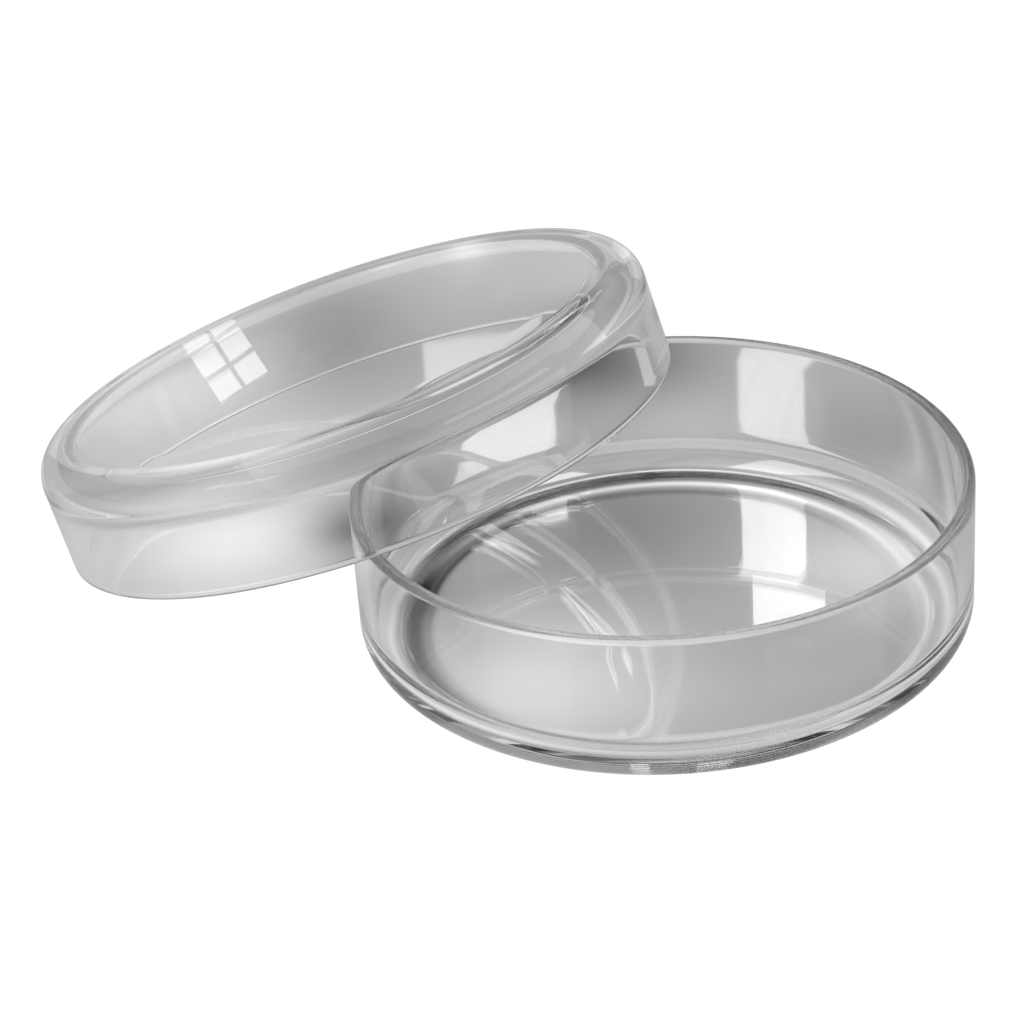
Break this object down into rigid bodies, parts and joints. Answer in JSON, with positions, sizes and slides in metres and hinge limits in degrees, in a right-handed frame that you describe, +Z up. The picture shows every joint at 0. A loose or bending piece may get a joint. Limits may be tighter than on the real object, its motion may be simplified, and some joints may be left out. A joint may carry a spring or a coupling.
{
  "type": "petri dish",
  "caption": "Shallow round clear glass dish with rounded bottom corner and fire-polished rim, and a wider flat-topped lid that leans on the rim.",
  "frame": {"origin": "centre of the base dish's underside, on the bench", "axes": "+Z up along the base dish's axis; the lid leans on the rim at -X and +Y"},
  "size_m": [0.144, 0.1254, 0.047],
  "materials": {
    "base_glass": "clear, fire polished",
    "lid_glass": "clear, fire polished"
  },
  "bodies": {
    "dish": {"base_dish": "base_glass"},
    "cover": {"lid": "lid_glass"}
  },
  "joints": [
    {"name": "lid_lift", "type": "slide", "parent": "dish", "child": "cover", "axis": [0, 0, 1], "range_m": [0, 0.04]}
  ]
}
